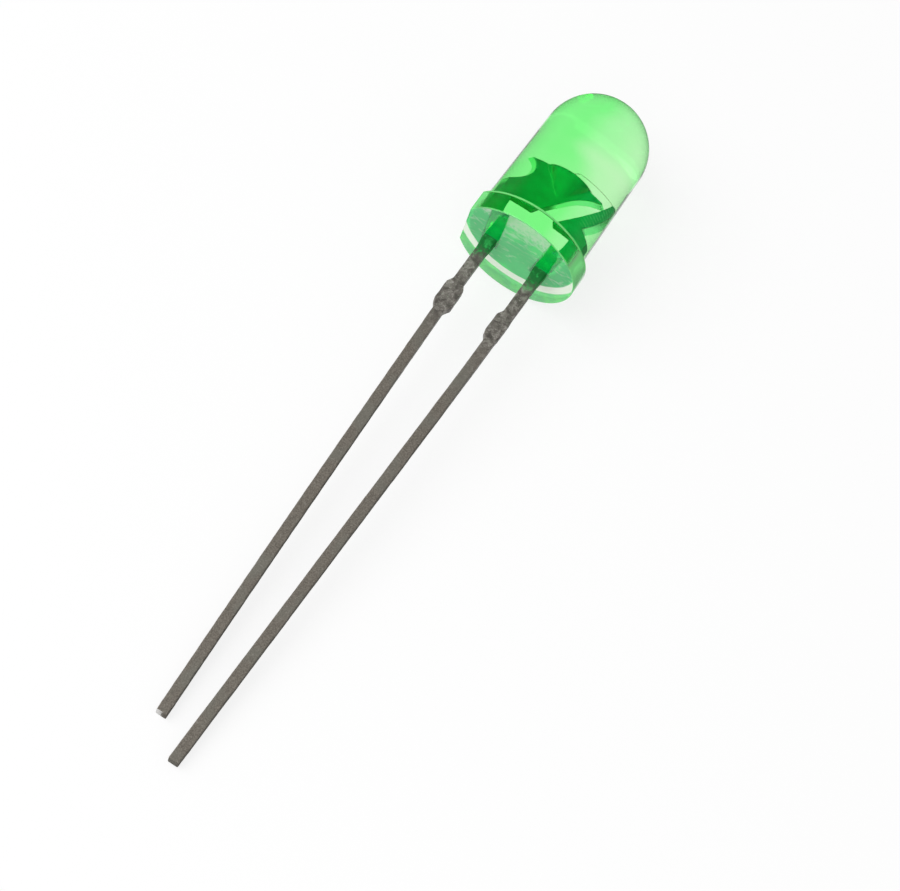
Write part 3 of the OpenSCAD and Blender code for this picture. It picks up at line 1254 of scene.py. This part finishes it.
def quarter(radius: float, middle: Ring, start: float, end: float, steps: int) -> list[Ring]:
    """Lay rings along an arc.

    Args:
        radius: The arc's radius.
        middle: Where its middle lies.
        start: The angle where it starts, in degrees.
        end: The angle where it ends, in degrees.
        steps: How many steps it has.

    Returns:
        The rings, with one at each end.
    """
    turns = (math.radians(start + (end - start) * i / steps) for i in range(steps + 1))
    return [(middle[0] + radius * math.cos(a), middle[1] + radius * math.sin(a)) for a in turns]


def ease(value: float) -> float:
    """A number held between 0 and 1 and eased at both ends."""
    held = min(max(value, 0.0), 1.0)
    return held * held * (3 - 2 * held)


@dataclass
class LensBody:
    """The cast epoxy: flange with its flat, tapering barrel, dome, and collars on the leads."""

    lamp: LampFrame
    height: float = 8.849
    barrel_d: float = 5.0
    dome_d: float = 4.789
    land_h: float = 0.5
    flange_d: float = 5.79
    flange_h: float = 1.0
    flat_ledge: float = 0.03
    edge_r: float = 0.05
    top_edge_r: float = 0.015
    edge_steps: int = 4
    lead_pitch: float = 2.54
    lead_w: float = 0.5
    collar_h: float = 0.1
    creep: float = 0.1
    fine_margin: float = 0.1
    fine_cuts: int = 2
    face_d: float = 4.8
    ripple: float = 0.025
    ripple_w: float = 0.8
    rim_gap: float = 0.2
    rim_fade: float = 0.25
    lead_gap: float = 0.15
    lead_fade: float = 0.3
    sides: int = 320
    dome_rings: int = 72
    base_rings: int = 32
    soft_angle: float = 40.0

    def build(self) -> list[Piece]:
        """Model the lens body, dress it and lay it down.

        Returns:
            The finished piece.
        """
        piece = self._cast()
        weigh(piece, "collars", self._close_to_lead)
        weigh(piece, "open_face", self._open_face)
        push(piece, "open_face", self.ripple, direction="Z", **clouds("ripple", self.ripple_w))
        push(piece, "collars", -self.collar_h, direction="Z")
        smooth_by_angle(piece, self.soft_angle)
        cast(piece, "WEIGHTED_NORMAL", keep_sharp=True)
        self._dress(piece)
        return [lay_down(piece, self.lamp, Node.LENS)]

    def _outline(self) -> list[Ring]:
        """Draw half the outline: from the middle of the base, over the flange, to the dome.

        Returns:
            The rings.
        """
        barrel_r, dome_r, flange_r = self.barrel_d / 2, self.dome_d / 2, self.flange_d / 2
        land_z, dome_z = self.flange_h + self.land_h, self.height - dome_r
        rise = dome_z - land_z
        draft = math.acos(dome_r / math.hypot(barrel_r, rise)) - math.atan2(rise, barrel_r)
        step = self.face_d / 2 / self.base_rings
        base = [(step * (i + 1), 0.0) for i in range(self.base_rings)]
        flange = [(flange_r, 0.0), (flange_r, self.flange_h), (barrel_r, self.flange_h)]
        dome = quarter(dome_r, (0.0, dome_z), math.degrees(draft), 90.0, self.dome_rings)
        return base + flange + [(barrel_r, land_z)] + dome[:-1]

    def _cast(self) -> Piece:
        """Model the bare casting, with its flat and its soft edges.

        Returns:
            The piece.
        """
        piece = turned("lens_body_cast", self._outline(), self.sides)
        flat_x = -self.barrel_d / 2 - self.flat_ledge
        reach = self.lead_w / 2 + self.creep + self.fine_margin
        with editing(piece):
            for height, radius in ((0.0, self.edge_r), (self.flange_h, self.top_edge_r)):
                pick(
                    piece, Domain.EDGES,
                    lambda at: self._on_rim(at) and abs(at.z - height) < SAME_PLACE,
                )
                bpy.ops.mesh.bevel(offset=radius * MM, segments=self.edge_steps, affect="EDGES")
            pick(piece, Domain.VERTS, lambda at: at.x < flat_x)
            on_flat = (flat_x * MM, 0.0, 0.0)
            bpy.ops.transform.resize(value=(0.0, 1.0, 1.0), center_override=on_flat)
            pick(piece, Domain.EDGES, self._on_flat_corner)
            bpy.ops.mesh.mark_sharp()
            for x in (-self.lead_pitch / 2, self.lead_pitch / 2):
                pick(
                    piece, Domain.FACES,
                    lambda at: max(abs(at.x - x), abs(at.y), abs(at.z)) < reach,
                )
                bpy.ops.mesh.subdivide(number_cuts=self.fine_cuts)
        return piece

    def _dress(self, piece: Piece) -> None:
        """Give the open face its dull skin and the rest the mould's gloss.

        Args:
            piece: The lens body.
        """
        piece.data.materials.append(MouldedEpoxy(self.lamp).make())
        piece.data.materials.append(OpenFaceEpoxy(self.lamp).make())
        for face in piece.data.polygons:
            middle = face.center / MM
            within = middle.xy.length < self.flange_d / 2 - self.edge_r
            if within and middle.z < self.ripple + CLOSE_BY:
                face.material_index = 1

    def _on_rim(self, at: Vector) -> bool:
        """Whether a place is on the flange's outer wall."""
        return at.xy.length > self.flange_d / 2 * (1 - CLOSE_BY)

    def _on_flat_corner(self, at: Vector) -> bool:
        """Whether an edge is an upright corner, where the flange's wall turns into its flat.

        Args:
            at: The middle of the edge.

        Returns:
            Whether it is.
        """
        flange_r = self.flange_d / 2
        turn = math.tau / self.sides
        flat = math.acos((self.barrel_d / 2 + self.flat_ledge) / flange_r)
        corner = math.ceil(flat / turn) * turn
        off = Vector((at.x + flange_r * math.cos(corner), abs(at.y) - flange_r * math.sin(corner)))
        return off.length < CLOSE_BY

    def _beside_lead(self, at: Vector) -> float:
        """How far a place lies beside the nearer lead; less than 0 is within its width."""
        return abs(abs(at.x) - self.lead_pitch / 2) - self.lead_w / 2

    def _close_to_lead(self, at: Vector) -> float:
        """Say how far the resin has crept down the nearer lead.

        Args:
            at: The place.

        Returns:
            From 0 to 1.
        """
        if at.z > self.ripple + CLOSE_BY:
            return 0.0
        before = abs(at.y) - self.lead_w / 2
        away = math.hypot(max(self._beside_lead(at), 0.0), max(before, 0.0))
        return max(1 - away / self.creep, 0.0) ** 2

    def _open_face(self, at: Vector) -> float:
        """Say how far a place is on the face that cured in the open.

        Args:
            at: The place.

        Returns:
            1 on the face, fading out at its rim and beside the leads.
        """
        if at.z > CLOSE_BY:
            return 0.0
        inside = ease((self.face_d / 2 - self.rim_gap - at.xy.length) / self.rim_fade)
        return inside * ease((self._beside_lead(at) - self.lead_gap) / self.lead_fade)


@dataclass
class Lead:
    """One lead with its part of the stamped frame, its edges and faces worn soft."""

    lamp: LampFrame
    node: Node
    length: float
    bump_z: float = -3.36
    bump_reach: float = 1.2
    voxel: float = 0.04
    softening: float = 0.5
    softening_steps: int = 2
    dent: float = 0.036
    dent_w: float = 0.3
    dent_detail: int = 3
    cast_in_above: float = -0.1
    cast_in_rough: float = 0.15
    plain_rough: float = 0.35
    bump_rough: float = 0.65
    film_t: float = 0.055
    film_foot: float = -0.8
    film_rise: float = 0.6
    film_top: float = 1.2
    film_fall: float = 0.5
    soft_angle: float = 60.0

    def build(self) -> list[Piece]:
        """Model the lead from a copy of its node, dress it and lay it down.

        Returns:
            The finished piece.
        """
        piece = standing_copy(self.node, self.lamp)
        cast(piece, "REMESH", mode="VOXEL", voxel_size=self.voxel * MM)
        cast(piece, "SMOOTH", factor=self.softening, iterations=self.softening_steps)
        weigh(piece, "rough", self._rough)
        dents = clouds(self.node.value + "_dents", self.dent_w, self.dent_detail)
        push(piece, "rough", -self.dent, **dents)
        weigh(piece, "filmed", self._filmed)
        push(piece, "filmed", self.film_t)
        smooth_by_angle(piece, self.soft_angle)
        self._dress(piece)
        return [lay_down(piece, self.lamp, self.node)]

    def _dress(self, piece: Piece) -> None:
        """Give the lead its tin and plate, with painted ridge highlights on the anode's post.

        Args:
            piece: The lead.
        """
        name = "tinned_steel_" + self.node.value
        finish = LeadFinish(self.lamp, name, self.length, ridged=self.node is Node.ANODE)
        piece.data.materials.append(finish.make())

    def _rough(self, at: Vector) -> float:
        """Say how rough the lead is: most where its tie bar was sheared off.

        Args:
            at: The place.

        Returns:
            From 0 to 1.
        """
        if at.z > self.cast_in_above:
            return self.cast_in_rough
        return self.plain_rough + self.bump_rough * ease(self.bump_reach - abs(at.z - self.bump_z))

    def _filmed(self, at: Vector) -> float:
        """How thick the film of resin on the lead is at this place, from 0 to 1."""
        rise = ease((at.z - self.film_foot) / self.film_rise)
        return rise * ease((self.film_top - at.z) / self.film_fall)


@dataclass
class Die:
    """The sawn die with its bond pad, on its bed of silver paste."""

    lamp: LampFrame
    foot_z: float = 3.79
    width: float = 0.3
    height: float = 0.25
    mesa: float = 0.035
    edge_r: float = 0.006
    edge_steps: int = 2
    pad_d: float = 0.13
    pad_t: float = 0.004
    pad_bevel: float = 0.0005
    pad_bevel_share: float = 0.9
    pad_sides: int = 40
    paste_d: float = 0.52
    paste_t: float = 0.02
    paste_edge_r: float = 0.01
    paste_edge_h: float = 0.006
    paste_climb: float = 0.07
    paste_steps: int = 10
    paste_tops: Range = (0.5, 0.1)
    paste_sides: int = 72
    lump_depth: float = 0.03
    lump_w: float = 0.12
    soft_angle: float = 30.0
    paste_soft_angle: float = 50.0

    def build(self) -> list[Piece]:
        """Model the crystal with its pad, and the paste; dress them and lay them down.

        Returns:
            The crystal with its pad, and the paste.
        """
        crystal = join([self._block(), self._pad()], "led_die_sawn")
        smooth_by_angle(crystal, self.soft_angle)
        paste = self._paste()
        smooth_by_angle(paste, self.paste_soft_angle)
        return [
            lay_down(crystal, self.lamp, Node.DIE),
            lay_down(paste, self.lamp, Node.PASTE),
        ]

    def _block(self) -> Piece:
        """Model and dress the crystal, a block with a stepped top.

        Returns:
            The block.
        """
        deselect()
        low_h = self.height - self.mesa
        middle = (self.foot_z + low_h / 2) * MM
        bpy.ops.mesh.primitive_cube_add(size=1.0, location=(0.0, 0.0, middle))
        block = bpy.context.object
        block.scale = (self.width * MM, self.width * MM, low_h * MM)
        bpy.ops.object.transform_apply(location=True, rotation=True, scale=True)
        with editing(block):
            pick(block, Domain.FACES, lambda at: at.z > self.foot_z + low_h - CLOSE_BY)
            bpy.ops.mesh.inset(thickness=self.mesa * MM)
            rise = {"value": (0.0, 0.0, self.mesa * MM)}
            bpy.ops.mesh.extrude_region_move(TRANSFORM_OT_translate=rise)
        edge = {"width": self.edge_r * MM, "segments": self.edge_steps}
        cast(block, "BEVEL", limit_method="ANGLE", **edge)
        block.data.materials.append(CrystalFinish().make())
        return block

    def _pad(self) -> Piece:
        """Model and dress the thin round metal pad, sunk into the crystal's top.

        Returns:
            The pad.
        """
        rim, top = self.pad_d / 2, self.foot_z + self.height
        rings = [
            (rim, top - self.pad_t),
            (rim, top - 2 * self.pad_bevel),
            (rim * self.pad_bevel_share, top - self.pad_bevel),
        ]
        pad = turned("bond_pad", rings, self.pad_sides)
        pad.data.materials.append(GoldFinish(name="gold_bond_pad").make())
        return pad

    def _paste(self) -> Piece:
        """Model and dress the paste, a low mound that climbs the sides of the crystal.

        Returns:
            The piece.
        """
        floor = self.foot_z - self.paste_t
        edge_z = floor + self.paste_edge_h
        rim, shoulder = self.paste_d / 2, self.width / 2 ** 0.5
        rings = [(rim - self.paste_edge_r, floor), (rim, edge_z)]
        for i in range(1, self.paste_steps + 1):
            share = i / self.paste_steps
            rings.append((rim + (shoulder - rim) * share, edge_z + self.paste_climb * share ** 2))
        rings += [(shoulder * share, rings[-1][1]) for share in self.paste_tops]
        piece = turned("die_paste_spread", rings, self.paste_sides)
        uneven_z = floor + self.paste_edge_h / 2
        weigh(piece, "uneven", lambda at: 1.0 if at.z > uneven_z else 0.0)
        push(piece, "uneven", -self.lump_depth, **clouds("paste_lumps", self.lump_w))
        piece.data.materials.append(PasteFinish().make())
        return piece


@dataclass
class BondWire:
    """The gold wire: a ball on the die, a tight first turn, a long fall, and a flat stitch."""

    lamp: LampFrame
    start_z: float = 4.04
    loop_z: float = 4.52
    loop_r: float = 0.2
    end_x: float = 1.855
    end_z: float = 4.38
    wire_d: float = 0.025
    ball_d: float = 0.1
    ball_h: float = 0.05
    stitch_l: float = 0.1
    stitch_w: float = 0.08
    stitch_t: float = 0.016
    stitch_overlap: float = 1.1
    turn_steps: int = 10
    fall_steps: int = 24
    round_steps: int = 4
    ball_sides: int = 32
    stitch_sides: int = 24
    soft_angle: float = 60.0

    def build(self) -> list[Piece]:
        """Model the wire, its ball and its stitch, dress them and lay them down.

        Returns:
            The finished piece.
        """
        wire = self._wire()
        middle = (0.0, 0.0, self.start_z + self.ball_h / 2)
        ball = self._squashed(self.ball_sides, middle, (self.ball_d, self.ball_d, self.ball_h))
        middle = (self.end_x + self.stitch_l / 2, 0.0, self.end_z + self.stitch_t / 2)
        size = (self.stitch_l * self.stitch_overlap, self.stitch_w, self.stitch_t)
        stitch = self._squashed(self.stitch_sides, middle, size)
        piece = join([wire, ball, stitch], "bond_wire_drawn")
        piece.data.materials.append(GoldFinish().make())
        smooth_by_angle(piece, self.soft_angle)
        return [lay_down(piece, self.lamp, Node.WIRE)]

    def _route(self) -> list[Vector]:
        """Draw the middle line of the wire.

        Returns:
            Its points, in millimetres.
        """
        route = [Vector((0.0, 0.0, self.start_z + self.ball_h / 2))]
        for i in range(self.turn_steps + 1):
            a = math.pi / 2 * i / self.turn_steps
            x = self.loop_r * (1 - math.cos(a))
            route.append(Vector((x, 0.0, self.loop_z - self.loop_r * (1 - math.sin(a)))))
        span, fall = self.end_x - self.loop_r, self.loop_z - self.end_z - self.wire_d / 2
        radius = (span * span + fall * fall) / (2 * fall)
        reach = math.asin(span / radius)
        for i in range(1, self.fall_steps + 1):
            a = reach * i / self.fall_steps
            drop = radius * (1 - math.cos(a))
            route.append(Vector((self.loop_r + radius * math.sin(a), 0.0, self.loop_z - drop)))
        return route

    def _wire(self) -> Piece:
        """Model the round wire along its route.

        Returns:
            The wire.
        """
        deselect()
        bpy.ops.curve.primitive_nurbs_path_add(location=(0.0, 0.0, 0.0))
        line = bpy.context.object
        line.data.splines.clear()
        route = self._route()
        spline = line.data.splines.new("POLY")
        spline.points.add(len(route) - 1)
        for point, at in zip(spline.points, route):
            point.co = (*(at * MM), 1.0)
        line.data.bevel_depth = self.wire_d / 2 * MM
        line.data.bevel_resolution = self.round_steps
        line.data.use_fill_caps = True
        take(line)
        bpy.ops.object.convert(target="MESH")
        wire = bpy.context.object
        with editing(wire):
            bpy.ops.mesh.select_all(action="SELECT")
            bpy.ops.mesh.remove_doubles(threshold=SAME_PLACE * MM)
        return wire

    def _squashed(self, sides: int, middle: Sequence[float], size: Sequence[float]) -> Piece:
        """Model a squashed ball of gold.

        Args:
            sides: How many sides it has.
            middle: Where its middle lies, in millimetres.
            size: Its width, depth and height, in millimetres.

        Returns:
            The ball.
        """
        deselect()
        bpy.ops.mesh.primitive_uv_sphere_add(
            segments=sides, ring_count=sides // 2, radius=0.5, location=Vector(middle) * MM
        )
        ball = bpy.context.object
        ball.scale = Vector(size) * MM
        bpy.ops.object.transform_apply(location=True, rotation=True, scale=True)
        return ball


# --- Studio --------------------------------------------------------------------------------


@dataclass(frozen=True)
class SoftLamp:
    """A large soft lamp that looks at the lamp's middle, its angles in degrees."""

    name: str
    azimuth: float
    elevation: float
    watts: float
    width: float = 0.24
    distance: float = 0.32

    def place(self, target: Vector) -> None:
        """Put the lamp in the scene.

        Args:
            target: The point that it looks at.
        """
        light = bpy.data.lights.new(self.name, "AREA")
        light.shape = "RECTANGLE"
        light.size = light.size_y = self.width
        light.energy = self.watts
        rig = bpy.data.objects.new(self.name, light)
        bpy.context.scene.collection.objects.link(rig)
        turn, lift = math.radians(self.azimuth), math.radians(self.elevation)
        level = math.cos(lift)
        back = Vector((math.sin(turn) * level, -math.cos(turn) * level, math.sin(lift)))
        rig.location = target + back * self.distance
        rig.rotation_euler = back.to_track_quat("Z", "Y").to_euler()


@dataclass
class Studio:
    """A plain pale floor, a pale room and soft lamps, with one camera above the lamp.

    What glass and mirrors see of the floor is a painted pool of light round the lens, going over
    to a dusk beyond it.
    """

    floor_width: float = 3.0
    floor_colour: Colour = (0.95, 0.95, 0.95)
    floor_glow: float = 0.8
    lens_y: Range = (-2.5, 8.5)
    clear_pool: Fade = (6.0, 26.0)
    clear_dusk: float = 0.6
    gloss_pool: Fade = (3.6, 5.4)
    gloss_dusk: float = 0.17
    room_light: float = 0.48
    room_rise: Fade = (0.0, 0.5)
    room_shades: Range = (0.8, 0.16)
    room_gloss: float = 0.3
    lamps: Sequence[SoftLamp] = (
        SoftLamp("key_lamp", azimuth=-62.0, elevation=48.0, watts=0.6),
        SoftLamp("fill_lamp", azimuth=-10.0, elevation=55.0, watts=0.25),
    )
    camera_at: tuple[float, float, float] = (4.490, -95.957, 143.118)
    camera_turn: tuple[float, float, float] = (26.3138, -17.3172, 32.3138)
    camera_lens: float = 162.927
    camera_sensor: float = 36.0
    camera_clip: Range = (0.005, 10.0)

    def build(self) -> None:
        """Make the floor, the room, the lamps and the camera."""
        low, high = CAD_BOX
        middle = (low + high) / 2
        self._floor(Vector((middle.x, middle.y, low.z)))
        self._room()
        for lamp in self.lamps:
            lamp.place(middle)
        self._camera()

    def _shown(self, recipe: Recipe, to_camera: float) -> Socket:
        """Say how far a ray sees the plain white room instead of what the lamps light.

        Args:
            recipe: The material or world that asks.
            to_camera: The share for rays from the camera.  A mirror or glass sees all of it.

        Returns:
            The share, which is 0 for the rays that light the object.
        """
        path = recipe.node("ShaderNodeLightPath").outputs
        mirrored = recipe.larger(path["Is Glossy Ray"], path["Is Transmission Ray"])
        return recipe.larger(recipe.times(path["Is Camera Ray"], to_camera), mirrored)

    def _by_ray(self, recipe: Recipe, clear: Value, gloss: Value) -> Socket:
        """Tell rays apart.

        Args:
            recipe: The material or world that asks.
            clear: What a ray through glass sees.
            gloss: What a mirrored ray sees.

        Returns:
            One of the two, or white for a ray from the camera.
        """
        path = recipe.node("ShaderNodeLightPath").outputs
        seen = recipe.level(path["Is Glossy Ray"], clear, gloss)
        return recipe.level(path["Is Camera Ray"], seen, 1.0)

    def _from_lens(self, recipe: Recipe) -> Socket:
        """Measure how far a place on the floor lies from the line under the lens.

        Args:
            recipe: The floor's recipe.

        Returns:
            The distance, in millimetres.
        """
        spot = recipe.node("ShaderNodeNewGeometry").outputs["Position"]
        first, last = self.lens_y
        beside = recipe.along(spot, Vector((1 / MM, 0.0, 0.0)))
        ahead = recipe.along(spot, Vector((0.0, 1 / MM, 0.0)))
        off_middle = recipe.unsigned(recipe.less(ahead, (first + last) / 2))
        beyond = recipe.larger(recipe.less(off_middle, (last - first) / 2), 0.0)
        return recipe.distance(beside, beyond)

    def _floor(self, middle: Vector) -> None:
        """Lay a wide pale floor that the lamp rests on, and that keeps its faint shadow.

        Args:
            middle: The floor's middle.
        """
        deselect()
        bpy.ops.mesh.primitive_plane_add(size=self.floor_width, location=middle)
        floor = bpy.context.object
        floor.name = "floor"
        recipe = Recipe("pale_floor")
        lit = recipe.node("ShaderNodeBsdfDiffuse")
        recipe.feed(lit.inputs["Color"], self.floor_colour)
        # Glass and mirrors see a painted pool of light round the lens, dimmer beyond it.
        away = self._from_lens(recipe)
        clear = recipe.level(recipe.fade(away, *self.clear_pool), 1.0, self.clear_dusk)
        gloss = recipe.level(recipe.fade(away, *self.gloss_pool), 1.0, self.gloss_dusk)
        glow = recipe.node("ShaderNodeEmission")
        recipe.feed(glow.inputs["Strength"], self._by_ray(recipe, clear, gloss))
        recipe.show_mixed(self._shown(recipe, self.floor_glow), lit, glow)
        floor.data.materials.append(recipe.material)

    def _room(self) -> None:
        """Light the room evenly: white to the camera, darker overhead to glass and mirrors."""
        recipe = WorldRecipe("pale_room")
        direction = recipe.node("ShaderNodeTexCoord").outputs["Generated"]
        rise = recipe.fade(recipe.along(direction, Vector((0.0, 0.0, 1.0))), *self.room_rise)
        clear = recipe.level(rise, *self.room_shades)
        seen = self._by_ray(recipe, clear, recipe.times(clear, self.room_gloss))
        light, walls = recipe.white(self.room_light), recipe.white(seen)
        recipe.show_mixed(self._shown(recipe, 1.0), light, walls)

    def _camera(self) -> None:
        """Set the camera high over the leads' side, rolled so that the lamp points up right."""
        view = bpy.data.cameras.new("view")
        view.lens = self.camera_lens
        view.sensor_width = self.camera_sensor
        view.clip_start, view.clip_end = self.camera_clip
        camera = bpy.data.objects.new("view", view)
        bpy.context.scene.collection.objects.link(camera)
        camera.location = Vector(self.camera_at) * MM
        camera.rotation_euler = [math.radians(angle) for angle in self.camera_turn]
        bpy.context.scene.camera = camera
        bpy.context.scene.view_settings.view_transform = "Standard"


def main() -> None:
    """Build every piece in order and report it, then build the studio."""
    logging.basicConfig(level=logging.INFO, format="%(name)s: %(message)s")
    lamp = LampFrame.from_record(frame["record"])
    makers = (
        LensBody(lamp),
        Lead(lamp, Node.CATHODE, length=25.9),
        Lead(lamp, Node.ANODE, length=27.3),
        Die(lamp),
        BondWire(lamp),
    )
    for maker in makers:
        for piece in maker.build():
            LOG.info("%s: %d faces", piece.name, len(piece.data.polygons))
    Studio().build()


if __name__ == "__main__":
    main()
